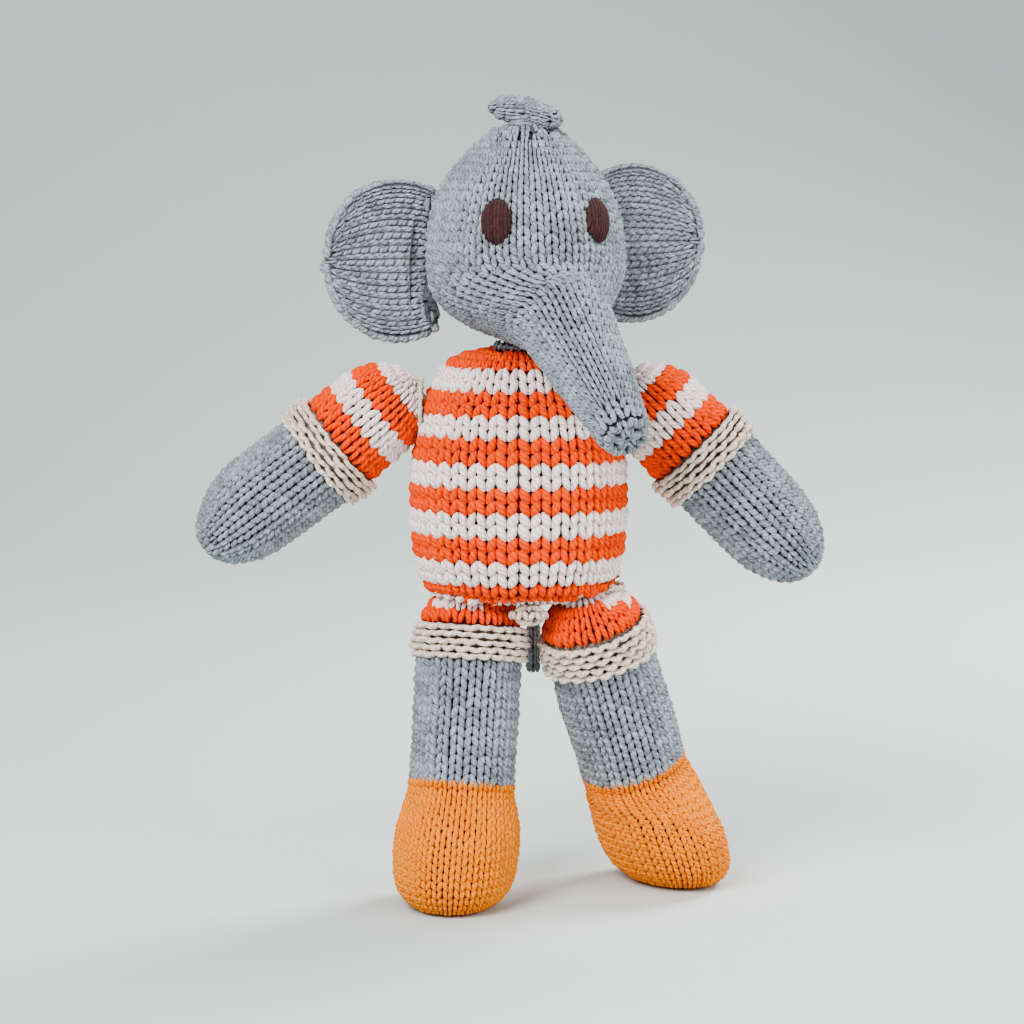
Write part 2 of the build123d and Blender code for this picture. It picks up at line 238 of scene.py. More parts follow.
def walkAlong(points):  # the distance from the start to each point, or to each ring of a grid
    steps = np.linalg.norm(np.diff(points, axis=0), axis=-1)
    return np.concatenate([[0], np.cumsum(steps if steps.ndim == 1 else steps.mean(1))])


def inScene(name, data):
    obj = bpy.data.objects.new(name, data)
    bpy.context.scene.collection.objects.link(obj)
    return obj


def meshObject(name, points, faces, mats, uvs=None, values=None, faceMats=None):  # points in mm
    mesh = bpy.data.meshes.new(name)
    mesh.from_pydata((np.asarray(points) * mm).tolist(), [], [list(map(int, f)) for f in faces])
    for material in mats:
        mesh.materials.append(material)
    layer = mesh.uv_layers.new(name="strand")
    if uvs is not None:
        layer.data.foreach_set("uv", np.asarray(uvs, np.float32).ravel())
    for label, data in (values or {}).items():
        spot = mesh.attributes.new(label, "FLOAT", "POINT")
        spot.data.foreach_set("value", np.asarray(data, np.float32))
    if faceMats is not None:
        mesh.polygons.foreach_set("material_index", np.asarray(faceMats, np.int32))
    mesh.polygons.foreach_set("use_smooth", [True] * len(mesh.polygons))
    mesh.update()
    return inScene(name, mesh)


def strand(points, radii, segments=6, closed=False, cap=True):  # yarn along a line: points, faces, uvs
    points = np.asarray(points, float)
    n = len(points)
    radii = np.broadcast_to(np.asarray(radii, float), (n,))
    along = unit(np.roll(points, -1, 0) - np.roll(points, 1, 0) if closed else np.gradient(points, axis=0))
    side = np.cross(along[0], up if abs(along[0][2]) < 0.9 else toLeft)
    normals = [unit(side)]
    for k in range(1, n):
        normals.append(unit(normals[-1] - along[k] * (normals[-1] @ along[k])))
    normals = np.array(normals)
    if closed:  # spread the twist left over, so that the ends meet
        end = unit(normals[-1] - along[0] * (normals[-1] @ along[0]))
        left = math.atan2(np.cross(end, normals[0]) @ along[0], end @ normals[0])
        turn = (np.arange(n) / n * left)[:, None]
        normals = normals * np.cos(turn) + np.cross(along, normals) * np.sin(turn)
    across = np.cross(along, normals)
    angles = np.arange(segments) / segments * 2 * math.pi
    ring = np.cos(angles)[None, :, None] * normals[:, None] + np.sin(angles)[None, :, None] * across[:, None]
    verts = (points[:, None] + ring * radii[:, None, None]).reshape(-1, 3)
    walked = walkAlong(points) / max(np.mean(radii) * 4, 1e-6)
    faces, uvs = [], []
    for k in range(n if closed else n - 1):
        after = (k + 1) % n
        u0, u1 = walked[k], walked[k + 1] if k + 1 < n else walked[-1] + walked[1]
        for j in range(segments):
            following = (j + 1) % segments
            faces.append((k * segments + j, k * segments + following,
                          after * segments + following, after * segments + j))
            v0, v1 = j / segments, (j + 1) / segments
            uvs += [(u0, v0), (u0, v1), (u1, v1), (u1, v0)]
    if cap and not closed:
        faces.append(tuple(range(segments))[::-1])
        faces.append(tuple((n - 1) * segments + j for j in range(segments)))
        uvs += [(0, 0)] * segments * 2
    return verts, faces, uvs


def gather(parts):  # several strands as one set of points, faces and uvs, with a shade for each strand
    verts, faces, uvs, shades, base = [], [], [], [], 0
    for k, (v, f, u) in enumerate(parts):
        verts.append(v)
        faces += [tuple(i + base for i in face) for face in f]
        uvs += u
        shades += [(k * 0.618) % 1.0] * len(v)
        base += len(v)
    return np.concatenate(verts), faces, uvs, {"shade": shades}


def strandObject(name, parts, material):
    verts, faces, uvs, values = gather(parts)
    return meshObject(name, verts, faces, [material], uvs, values)


def smoothLine(knots, count):  # an even walk along a Catmull-Rom line through the knots
    knots = np.asarray(knots, float)
    ends = np.vstack([2 * knots[0] - knots[1], knots, 2 * knots[-1] - knots[-2]])
    fine = []
    for k in range(len(knots) - 1):
        p0, p1, p2, p3 = ends[k:k + 4]
        for t in np.linspace(0, 1, 24, endpoint=False):
            fine.append(0.5 * (2 * p1 + (p2 - p0) * t + (2 * p0 - 5 * p1 + 4 * p2 - p3) * t**2
                               + (3 * p1 - p0 - 3 * p2 + p3) * t**3))
    fine.append(knots[-1])
    fine = np.array(fine)
    walked = walkAlong(fine)
    at = np.linspace(0, walked[-1], count)
    return np.stack([np.interp(at, walked, fine[:, k]) for k in range(fine.shape[1])], 1)


# the two kinds of stitch, one column wide and one row high
usualWidth, usualThick = 1.35, 0.30  # against the row height: strands come out round at this size


def kneeStitch():  # a smooth-side stitch: two legs that spread from one end
    parts = []
    t = np.linspace(0, 1, 5)
    for side in (-1, 1):
        x = side * (0.115 + 0.255 * t**0.85) * usualWidth
        z = 0.25 + 0.55 * np.sin(math.pi * (0.08 + 0.86 * t))
        line = np.stack([x, -0.66 + 1.30 * t, z * usualThick], 1)
        parts.append(strand(line, 0.325 * np.sin(math.pi * (0.14 + 0.72 * t)) ** 0.75, 6, cap=False))
    verts, faces, uvs, _ = gather(parts)
    verts[:, 0] /= usualWidth
    verts[:, 2] /= usualThick
    return verts, faces, uvs


def purlStitch():  # a garter bump: a short arch across the column
    t = np.linspace(-1, 1, 7)
    line = np.stack([0.56 * t, 0.26 * np.cos(math.pi * t * 0.9), 0.28 + 0.16 * np.cos(math.pi * t / 2)], 1)
    verts, faces, uvs = strand(line, 0.40 * (1 - 0.5 * t**2), 6, cap=False)
    verts[:, 2] /= usualThick
    return verts, faces, uvs


def stitchObject(name, parts):
    verts, faces, uvs = parts
    obj = meshObject(name, verts / mm, faces, [], uvs)
    obj.hide_render = True
    return obj


kneeShape = stitchObject("kneeShape", kneeStitch())
purlShape = stitchObject("purlShape", purlStitch())


# Geometry Nodes: a stitch on every point, over the fabric below
def knitTree():
    tree = bpy.data.node_groups.new("knit", "GeometryNodeTree")
    for label, kind, value in (("Fabric", "NodeSocketGeometry", None), ("Loops", "NodeSocketObject", None),
                               ("Stitch", "NodeSocketObject", None), ("Yarn", "NodeSocketMaterial", None),
                               ("Wobble", "NodeSocketFloat", 0.05), ("Uneven", "NodeSocketFloat", 0.08),
                               ("Seed", "NodeSocketInt", 3)):
        socket = tree.interface.new_socket(label, in_out="INPUT", socket_type=kind)
        if value is not None:
            socket.default_value = value
    tree.interface.new_socket("Knit", in_out="OUTPUT", socket_type="NodeSocketGeometry")
    new, wire = tree.nodes.new, tree.links.new
    gin, gout = new("NodeGroupInput"), new("NodeGroupOutput")

    def named(label):
        node = new("GeometryNodeInputNamedAttribute")
        node.data_type = "FLOAT_VECTOR"
        node.inputs["Name"].default_value = label
        return node.outputs["Attribute"]

    def chance(socketLabel, low, offset):
        node = new("FunctionNodeRandomValue")
        node.data_type = "FLOAT_VECTOR"
        spread = new("ShaderNodeMath")
        spread.operation = "MULTIPLY"
        spread.inputs[1].default_value = -1 if low else 0
        wire(gin.outputs[socketLabel], spread.inputs[0])
        wire(spread.outputs[0], node.inputs[0])
        wire(gin.outputs[socketLabel], node.inputs[1])
        seed = new("FunctionNodeInputInt")
        seed.integer = offset
        add = new("ShaderNodeMath")
        wire(gin.outputs["Seed"], add.inputs[0])
        wire(seed.outputs[0], add.inputs[1])
        wire(add.outputs[0], node.inputs["Seed"])
        return node.outputs[0]

    def both(operation, a, b):
        node = new("ShaderNodeVectorMath")
        node.operation = operation
        wire(a, node.inputs[0])
        wire(b, node.inputs[1])
        return node.outputs[0]

    loops, stitch = new("GeometryNodeObjectInfo"), new("GeometryNodeObjectInfo")
    wire(gin.outputs["Loops"], loops.inputs["Object"])
    wire(gin.outputs["Stitch"], stitch.inputs["Object"])
    size = named("size")
    change = new("ShaderNodeVectorMath")
    change.operation = "MULTIPLY_ADD"
    wire(size, change.inputs[0])
    wire(chance("Uneven", True, 1), change.inputs[1])
    wire(size, change.inputs[2])
    instances = new("GeometryNodeInstanceOnPoints")
    wire(loops.outputs["Geometry"], instances.inputs["Points"])
    wire(stitch.outputs["Geometry"], instances.inputs["Instance"])
    wire(both("ADD", named("turn"), chance("Wobble", True, 2)), instances.inputs["Rotation"])
    wire(change.outputs[0], instances.inputs["Scale"])
    shade = new("GeometryNodeStoreNamedAttribute")
    shade.data_type = "FLOAT"
    shade.domain = "INSTANCE"
    shade.inputs["Name"].default_value = "shade"
    dice = new("FunctionNodeRandomValue")
    dice.data_type = "FLOAT"
    wire(gin.outputs["Seed"], dice.inputs["Seed"])
    wire(dice.outputs[1], shade.inputs["Value"])
    wire(instances.outputs[0], shade.inputs["Geometry"])
    real = new("GeometryNodeRealizeInstances")
    wire(shade.outputs["Geometry"], real.inputs["Geometry"])
    smooth = new("GeometryNodeSetShadeSmooth")
    wire(real.outputs[0], smooth.inputs["Geometry"])
    yarn = new("GeometryNodeSetMaterial")
    wire(smooth.outputs[0], yarn.inputs["Geometry"])
    wire(gin.outputs["Yarn"], yarn.inputs["Material"])
    joined = new("GeometryNodeJoinGeometry")
    wire(yarn.outputs[0], joined.inputs[0])
    wire(gin.outputs["Fabric"], joined.inputs[0])
    wire(joined.outputs[0], gout.inputs["Knit"])
    return tree


knit = knitTree()
knitSocket = {item.name: item.identifier for item in knit.interface.items_tree if item.in_out == "INPUT"}


def plainMesh(obj, **inputs):  # the tree's result as this object's own mesh, with no modifier left
    modifier = obj.modifiers.new("knit", "NODES")
    modifier.node_group = knit
    for label, value in inputs.items():
        modifier[knitSocket[label]] = value
    bpy.context.view_layer.update()
    graph = bpy.context.evaluated_depsgraph_get()
    made = bpy.data.meshes.new_from_object(obj.evaluated_get(graph), depsgraph=graph)
    obj.modifiers.clear()
    old, obj.data = obj.data, made
    bpy.data.meshes.remove(old)
    made.name = obj.name
    return obj


def eulers(x, y, z):  # XYZ angles of the frames whose axes are the rows of x, y and z
    pitch = np.arcsin(np.clip(-x[:, 2], -1, 1))
    return np.stack([np.arctan2(y[:, 2], z[:, 2]), pitch, np.arctan2(x[:, 1], x[:, 0])], 1)


# fabric surfaces: grids of points, rings along the fabric, closed around
around = 96


def ringGrid(centres, xAxes, yAxes, halfX, halfY, power=2.0):
    angles = np.arange(around) / around * 2 * math.pi
    c, s = np.cos(angles), np.sin(angles)
    c = np.sign(c) * np.abs(c) ** (2 / power)
    s = np.sign(s) * np.abs(s) ** (2 / power)
    return (centres[:, None] + c[None, :, None] * halfX[:, None, None] * xAxes[:, None]
            + s[None, :, None] * halfY[:, None, None] * yAxes[:, None])


def gridNormals(grid):
    across = np.roll(grid, -1, 1) - np.roll(grid, 1, 1)
    along = np.gradient(grid, axis=0)
    normals = unit(np.cross(across, along))
    outward = np.sum(normals * (grid - grid.mean(1, keepdims=True)), axis=(1, 2))
    return normals * (1 if outward.sum() >= 0 else -1)


def inset(grid, depth):
    return grid - gridNormals(grid) * depth


def lumpy(grid, seed, amount):  # the uneven swelling of a hand-stuffed piece
    chance = np.random.default_rng(seed)
    height = np.zeros(grid.shape[:2])
    for _ in range(7):
        wave = chance.normal(size=3) * 0.085
        height += np.sin(grid @ wave + chance.uniform(0, 6.28)) / 3
    return grid + gridNormals(grid) * (height * amount)[..., None]


def joined(name, objs):  # several meshes as one piece
    with bpy.context.temp_override(active_object=objs[0], selected_editable_objects=objs, object=objs[0]):
        bpy.ops.object.join()
    objs[0].name = objs[0].data.name = name
    return objs[0]


def pushOut(grid, centre, radius):  # dish the fabric round a ball that presses into it
    away = grid - centre
    distance = np.linalg.norm(away, axis=2, keepdims=True)
    return np.where(distance < radius, centre + away / np.maximum(distance, 1e-6) * radius, grid)


def sample(grid, rows, columns):  # points on the grid at real-numbered rows and columns
    rows = np.clip(rows, 0, len(grid) - 1.0001)
    r0 = np.floor(rows).astype(int)
    c0 = np.floor(columns).astype(int)
    fr, fc = (rows - r0)[..., None], (columns - c0)[..., None]
    c0, c1 = c0 % grid.shape[1], (c0 + 1) % grid.shape[1]
    low = grid[r0, c0] * (1 - fc) + grid[r0, c1] * fc
    high = grid[r0 + 1, c0] * (1 - fc) + grid[r0 + 1, c1] * fc
    return low * (1 - fr) + high * fr


def loopsOn(grid, columns, rowHeight, thick, aligned=True, least=2.4, keep=None, stagger=False, wide=1.04):
    # where each stitch of a fabric goes: its place, its turn and its size
    normals = gridNormals(grid)
    rings = np.arange(len(grid))
    meanWalk = walkAlong(grid)
    place, turn, size, row = [], [], [], []
    for k in range(columns):
        at = np.full(len(rings), k / columns * grid.shape[1])
        line = sample(grid, rings.astype(float), at)
        walk = meanWalk if aligned else walkAlong(line)
        count = max(int(round(walk[-1] / rowHeight)), 1)
        middles = (np.arange(count) + 0.5) / count * walk[-1]
        v = np.interp(middles, walk, rings)
        step = grid.shape[1] / columns / 2
        u = np.full(count, k / columns * grid.shape[1])
        if stagger:
            u = u + (np.arange(count) % 2) * step
        p = sample(grid, v, u)
        x = sample(grid, v, u + step) - sample(grid, v, u - step)
        half = walk[-1] / count / 2
        y = (sample(grid, np.interp(middles + half, walk, rings), u)
             - sample(grid, np.interp(middles - half, walk, rings), u))
        n = unit(sample(normals, v, u))
        width, height = np.linalg.norm(x, axis=1), np.linalg.norm(y, axis=1)
        y = unit(y)
        x = unit(np.cross(y, n))
        y = np.cross(n, x)
        # where the fabric narrows, two, four or eight columns merge into one
        every = 2 ** np.clip(np.ceil(np.log2(least / np.maximum(width, 0.05))), 0, 3)
        good = (k % every == 0) & (width > least / 9)
        if keep is not None:
            good &= keep(p)
        place.append(p[good])
        turn.append(eulers(x, y, n)[good])
        size.append(np.stack([width * every * wide, height, np.full(count, thick)], 1)[good])
        row.append(np.arange(count)[good])
    return np.concatenate(place), np.concatenate(turn), np.concatenate(size), np.concatenate(row)


def fabricMesh(name, grid, material, stripe=None):  # the closed fabric that shows between the stitches
    rings, count = grid.shape[:2]
    verts = np.concatenate([grid.reshape(-1, 3), grid[0].mean(0)[None], grid[-1].mean(0)[None]])
    faces = []
    for r in range(rings - 1):
        for c in range(count):
            d = (c + 1) % count
            faces.append((r * count + c, r * count + d, (r + 1) * count + d, (r + 1) * count + c))
    for c in range(count):
        d = (c + 1) % count
        faces.append((rings * count, d, c))
        faces.append((rings * count + 1, (rings - 1) * count + c, (rings - 1) * count + d))
    stripes = np.zeros(len(verts)) if stripe is None else np.concatenate([np.repeat(stripe, count), [0, 0]])
    values = {"shade": np.full(len(verts), 0.4), "stripe": stripes}
    obj = meshObject(name, verts, faces, [material], None, values)
    outward = gridNormals(grid)[rings // 2, 0]
    face = obj.data.polygons[(rings // 2) * count]
    if np.array(face.normal) @ outward < 0:
        obj.data.flip_normals()
    return obj


pieceCount = 0


def knitPiece(name, grid, yarn, columns, rowHeight, thick, shape=None, stripeOf=None, fill=0.85,
              rough=0.05, **how):
    # one knitted piece: fabric, and a stitch for every column and row
    global pieceCount
    pieceCount += 1
    base = inset(grid, thick * (1.25 if shape else 1.7))
    place, turn, size, row = loopsOn(base, columns, rowHeight, thick, **how)
    stripes = np.zeros(len(place))
    if stripeOf is not None:
        stripes = np.array([stripeOf(r, p) for r, p in zip(row, place)])
    points = bpy.data.meshes.new(name + "Loops")
    points.from_pydata((place * mm).tolist(), [], [])
    for label, data in (("turn", turn), ("size", size * mm)):
        spot = points.attributes.new(label, "FLOAT_VECTOR", "POINT")
        spot.data.foreach_set("vector", data.astype(np.float32).ravel())
    spot = points.attributes.new("stripe", "FLOAT", "POINT")
    spot.data.foreach_set("value", stripes.astype(np.float32))
    loops = inScene(name + "Loops", points)
    bandOf = None
    if stripeOf is not None:
        walk = walkAlong(base)
        count = max(int(round(walk[-1] / rowHeight)), 1)
        bandOf = np.array([stripeOf(min(int(w / walk[-1] * count), count - 1), ring.mean(0))
                           for w, ring in zip(walk, base)])
    # the fabric under the stitches takes the darkened yarn, painted shade between the stitches
    obj = fabricMesh(name, inset(base, 0.5), shadedUnder[yarn], bandOf)
    plainMesh(obj, Loops=loops, Stitch=shape or kneeShape, Yarn=materials[yarn], Seed=pieceCount * 7,
              Wobble=rough, Uneven=rough * 1.6)
    bpy.data.objects.remove(loops)
    bpy.data.meshes.remove(points)
    print("knitted", name, len(place), "stitches")
    return obj


# the torso
torsoSize = dict(
    sections=[  # height, half width, half depth
        (108.2, 2, 1.5), (108.0, 16, 10), (109.2, 27, 17), (112.6, 33.5, 23), (121, 37.4, 27.2),
        (134, 39.6, 29.4), (149, 40.6, 30.2), (164, 39.8, 29.7), (178, 37, 28), (188, 32.2, 25.4),
        (196.0, 27.0, 20.8), (200.2, 19.5, 15.0), (201.6, 11.5, 10),
    ],
    squareness=2.15, stitch=dict(columns=34, rowHeight=4.4, thick=1.9),
    shoulderBall=17.6, hipBall=20.0,  # the hollows that the round limb tops press in
)


def levelRings(sections, centre, power, rings=110):
    line = smoothLine(sections, rings)
    centres = np.stack([np.full(rings, centre[0]), np.full(rings, centre[1]), line[:, 0]], 1)
    return ringGrid(centres, toLeft[None], toBack[None], line[:, 1], line[:, 2], power)


balls = [(jointAt[f"{side}_arm_swing"], torsoSize["shoulderBall"]) for side in sides]
balls += [(jointAt[f"{side}_leg_swing"], torsoSize["hipBall"]) for side in sides]


def torsoGrid(depth=0.0):
    sections = [(z, w - depth, d - depth) for z, w, d in torsoSize["sections"]]
    grid = lumpy(levelRings(sections, torsoAt, torsoSize["squareness"]), 1, 0.5)
    for centre, radius in balls:
        grid = pushOut(grid, centre, radius + depth)
    return grid


def torsoStripe(row, point):  # two rows of each colour, white bands between orange ones
    return 1.0 if (row % 4) in (0, 1) and 112 < point[2] < 196 else 0.0


torsoKnit = knitPiece("torsoKnit", torsoGrid(), "sweaterYarn", **torsoSize["stitch"], stripeOf=torsoStripe)
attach(torsoKnit, "torso")
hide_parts("torso_cover")

# head and trunk: one tube, gathered at the crown, that narrows and bends into the trunk
headSize = dict(
    profile=[  # front (forward, height), back (forward, height), half width
        (2.6, 283.8, -2.6, 283.8, 2.8), (7.4, 283.0, -7.4, 283.0, 7.4), (12.0, 280.6, -12.0, 280.6, 12.0),
        (18.6, 275.4, -18.6, 275.4, 18.8), (25.6, 268, -25.6, 268, 25.8), (31.4, 259, -31.4, 259, 31.6),
        (34.9, 248.5, -35.0, 246, 34.9), (36.6, 242.0, -36.5, 233, 36.4), (37.5, 237.0, -33.9, 218.5, 36.2),
        (38.4, 233.6, -27.8, 210.4, 33.6), (39.4, 231.2, -14.0, 205.2, 29.0), (40.6, 228.9, 1.5, 203.2, 24.0),
    ],
    folds=dict(count=11, deep=0.9, fade=12.0),  # where the crown is drawn together
    stitch=dict(columns=44, rowHeight=3.7, thick=1.55),
)
trunkSize = dict(drop=38.0, root=19.2, tip=9.0, length=72.0, bend=(-6, 18))


def gourdGrid(depth=0.0, rings=160):
    drop = math.radians(trunkSize["drop"])
    forward = np.array([math.cos(drop), -math.sin(drop)])
    above = np.array([math.sin(drop), math.cos(drop)])
    reach = np.linalg.norm((trunkAt - headAt)[:2])
    root = np.array([reach, trunkAt[2]])
    knots = [list(k) for k in headSize["profile"]]
    shorter = 1 - depth * 1.3 / trunkSize["length"]
    for s in (10, 20, 32, 44, 56, 66 * shorter, 70.5 * shorter):
        radius = trunkSize["root"] + (trunkSize["tip"] - trunkSize["root"]) * s / trunkSize["length"]
        centre = root + forward * s
        knots.append([*(centre + above * radius), *(centre - above * radius), radius])
    for s, radius in ((72.0, 7.8), (72.4, 4.5), (72.4, 1.0)):
        centre = root + forward * s * shorter
        knots.append([*(centre + above * radius), *(centre - above * radius), radius])
    line = smoothLine(knots, rings)
    front, back, half = line[:, 0:2], line[:, 2:4], line[:, 4] - depth
    bend = np.clip((np.arange(rings) / rings - 0.42) / 0.2, 0, 1)
    yaw = headYaw + (trunkYaw - headYaw) * bend * bend * (3 - 2 * bend)
    ahead = np.stack([np.sin(yaw), -np.cos(yaw), np.zeros(rings)], 1)
    across = np.stack([np.cos(yaw), np.sin(yaw), np.zeros(rings)], 1)
    middle, reachOf = (front + back) / 2, (front - back) / 2
    base = np.array([headAt[0], headAt[1], 0.0])
    centres = base + ahead * middle[:, :1] + up * middle[:, 1:]
    length = np.linalg.norm(reachOf, axis=1)
    forwardAxis = unit(ahead * reachOf[:, :1] + up * reachOf[:, 1:])
    pleats = headSize["folds"]
    fading = np.exp(-((np.arange(rings) / pleats["fade"]) ** 2))[:, None]
    folds = np.cos(np.arange(around) / around * 2 * math.pi * pleats["count"])[None] * fading
    grid = ringGrid(centres, forwardAxis, across, length - depth, np.maximum(half, 0.4))
    grid = lumpy(grid, 2, 0.45)
    return grid + gridNormals(grid) * folds[..., None] * pleats["deep"]


trunkDrop = math.radians(trunkSize["drop"])
trunkAlong = np.array([math.sin(trunkYaw), -math.cos(trunkYaw), 0]) * math.cos(trunkDrop)
trunkAlong = trunkAlong - up * math.sin(trunkDrop)


def bendBetween(piece, inner, outer, at, along, start, end):  # the piece's transform, baked into its mesh
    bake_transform(piece)


def bendTrunk(piece):
    bendBetween(piece, "head", "trunk", trunkAt, trunkAlong, *trunkSize["bend"])


headKnit = knitPiece("headAndTrunkKnit", gourdGrid(), "greyYarn", **headSize["stitch"], aligned=False,
                     least=2.3)
bendTrunk(headKnit)
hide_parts("head_cover", "trunk_cover")


# limbs
def limbGrid(at, along, profile, rings, face=toFront):  # a round tube, and how far along each ring is
    line = smoothLine(profile, rings)
    y = unit(face - along * (face @ along))
    x = np.cross(y, along)
    return ringGrid(at + along * line[:, :1], x[None], y[None], line[:, 1], line[:, 1]), line[:, 0]


def stretchOf(grid, distances, start, end):  # the rings of a limb between two distances along it
    inside = (distances >= start) & (distances <= end)
    return grid[inside]


armSize = dict(
    profile=[  # distance from the shoulder's centre, radius
        (-16.6, 1), (-15.4, 7), (-11, 12.8), (-4, 16.6), (3, 17.9), (12, 18.4), (19, 18.8), (25, 19.6),
        (31, 18.8), (45, 18.7), (58, 18.4), (68, 16.6), (76, 12.6), (81.5, 7.4), (83.8, 1),
    ],
    drop={"right": 38.5, "left": 46.0}, sleeveEnd=19.0, cuffEnd=30.5,
    bend=(-6, 10),  # two distances along the arm
    whiteBefore=-7.5, whiteBand=(0.5, 9.0),  # the sleeve's white stripes, by distance
    sleeve=dict(columns=20, rowHeight=4.3, thick=1.7),
    cuff=dict(columns=22, rowHeight=2.3, thick=1.7),
    hand=dict(columns=19, rowHeight=3.1, thick=1.6),
)
lap = 0.5  # each knitted piece starts this far inside the one before it
cuffStyle = dict(shape=purlShape, stagger=True, rough=0.09)


def armAlong(side, sign):
    drop = math.radians(armSize["drop"][side])
    return np.array([sign * math.cos(drop), 0, -math.sin(drop)])


for side, sign in sides.items():
    at = jointAt[f"{side}_arm_swing"]
    along = armAlong(side, sign)
    grid, distances = limbGrid(at, along, armSize["profile"], 150)
    grid = lumpy(grid, 10 + sign, 0.45)

    def sleeveStripe(row, point):
        reach = (point - at) @ along
        start, end = armSize["whiteBand"]
        return 1.0 if reach < armSize["whiteBefore"] or start < reach < end else 0.0

    top = stretchOf(grid, distances, -17, armSize["sleeveEnd"])
    sleeve = knitPiece(f"{side}SleeveKnit", top, "sweaterYarn", **armSize["sleeve"], stripeOf=sleeveStripe)
    bendBetween(sleeve, f"{side}_shoulder", f"{side}_arm", at, along, *armSize["bend"])
    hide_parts(f"{side}_sleeve")
    band = stretchOf(grid, distances, armSize["sleeveEnd"] - lap, armSize["cuffEnd"])
    cuff = knitPiece(f"{side}ArmCuffKnit", band, "creamYarn", **armSize["cuff"], **cuffStyle)
    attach(cuff, f"{side}_arm")
    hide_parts(f"{side}_arm_cuff")
    end = stretchOf(grid, distances, armSize["cuffEnd"] - lap, 90)
    hand = knitPiece(f"{side}HandKnit", end, "greyYarn", **armSize["hand"])
    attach(hand, f"{side}_arm")
    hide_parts(f"{side}_hand")


legSize = dict(
    profile=[  # distance from the hip's centre, radius
        (-18.8, 1), (-17.6, 7), (-13.5, 13.8), (-7, 18.2), (-2, 19.4), (4, 19.9), (11, 19.8), (20, 19.9),
        (38, 20.0), (55.5, 19.9),
    ],
    lean={"right": -3.5, "left": 16.0}, swing={"right": 9.0, "left": -14.0},
    thighEnd=-3.0, cuffEnd=10.0, shinEnd=55.5, bend=(-14, -2),
    whiteAbove=107.5,  # the height where the thigh's white stripe starts
    thigh=dict(columns=22, rowHeight=4.2, thick=1.8),
    cuff=dict(columns=24, rowHeight=2.4, thick=1.7),
    shin=dict(columns=22, rowHeight=3.6, thick=1.6),
)
shoeSize = dict(
    sections=[  # height, forward, half width, half length
        (0.2, 7.0, 1.5, 2), (0.0, 7.0, 8.5, 12), (0.4, 7.0, 14.0, 19.5), (3, 7.0, 18.2, 24.4),
        (9, 7.0, 21.9, 28.5), (19.5, 6.5, 23.1, 29.5), (29, 5.2, 22.4, 27.3),
    ],
    ankle=dict(distances=(59.5, 54.8), halfWidth=19.9, halfLength=20.1),
    yaw={"right": -4.0, "left": 24.0}, stitch=dict(columns=32, rowHeight=3.0, thick=1.3),
)


def turnAbout(axis, degrees, v):
    a = math.radians(degrees)
    return v * math.cos(a) + np.cross(axis, v) * math.sin(a) + axis * (axis @ v) * (1 - math.cos(a))


def shoeGrid(side, at, along, depth=0.0, rings=90):
    yaw = math.radians(shoeSize["yaw"][side])
    toe = np.array([math.sin(yaw), -math.cos(yaw), 0.0])
    knots = []
    for z, forward, width, length in shoeSize["sections"]:
        centre = at + along * ((z - at[2]) / along[2])
        knots.append([*(centre + toe * forward), *up, *toe, width, length])
    ankle = shoeSize["ankle"]
    ahead = unit(toe - along * (toe @ along))
    for s in ankle["distances"]:
        knots.append([*(at + along * s), *(-along), *ahead, ankle["halfWidth"], ankle["halfLength"]])
    line = smoothLine(np.array(knots), rings)
    y = unit(line[:, 6:9])
    x = np.cross(y, unit(line[:, 3:6]))
    halfWidth, halfLength = np.maximum(line[:, 9:11] - depth, 0.4).T
    return ringGrid(line[:, 0:3], x, y, halfWidth, halfLength)


def thighStripe(row, point):
    return 1.0 if point[2] > legSize["whiteAbove"] else 0.0


def legAlong(side):
    along = turnAbout(toLeft, -legSize["swing"][side], -up)
    return turnAbout(toBack, -legSize["lean"][side], along)


for side, sign in sides.items():
    at = jointAt[f"{side}_leg_swing"]
    along = legAlong(side)
    grid, distances = limbGrid(at, along, legSize["profile"], 120)
    grid = lumpy(grid, 20 + sign, 0.45)
    top = stretchOf(grid, distances, -19, legSize["thighEnd"])
    thigh = knitPiece(f"{side}ThighKnit", top, "sweaterYarn", **legSize["thigh"], stripeOf=thighStripe)
    bendBetween(thigh, f"{side}_hip", f"{side}_leg", at, along, *legSize["bend"])
    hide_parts(f"{side}_thigh")
    band = stretchOf(grid, distances, legSize["thighEnd"] - lap, legSize["cuffEnd"])
    cuff = knitPiece(f"{side}LegCuffKnit", band, "creamYarn", **legSize["cuff"], **cuffStyle)
    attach(cuff, f"{side}_leg")
    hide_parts(f"{side}_leg_cuff")
    lower = stretchOf(grid, distances, legSize["cuffEnd"] - lap, legSize["shinEnd"] + 1)
    shin = knitPiece(f"{side}ShinKnit", lower, "greyYarn", **legSize["shin"])
    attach(shin, f"{side}_leg")
    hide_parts(f"{side}_shin")
    shoe = knitPiece(f"{side}ShoeKnit", shoeGrid(side, at, along), "shoeYarn", **shoeSize["stitch"])
    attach(shoe, f"{side}_leg")
    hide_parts(f"{side}_shoe")

# ears: cupped pads that narrow into the side of the head
earSize = dict(
    out=7.0, halfWidth=28.0, halfHeight=30.0, half=3.3, cup=7.5,
    rootAngle=112.0, spread=95.0, rootRadius=40.0,  # angles are from the face, round the head
    bend=(-3, 8),
    height={"right": 233.5, "left": 239.0}, stitch=dict(columns=32, rowHeight=3.8, thick=1.4),
)
headHeights = [k[3] for k in headSize["profile"]][::-1]
headRadii = [k[4] for k in headSize["profile"]][::-1]


def headRadius(z):
    return np.interp(z, headHeights, headRadii)


def compass(angle):  # a level direction, turned from the front towards the toy's left
    return np.array([math.sin(angle), -math.cos(angle), 0.0])


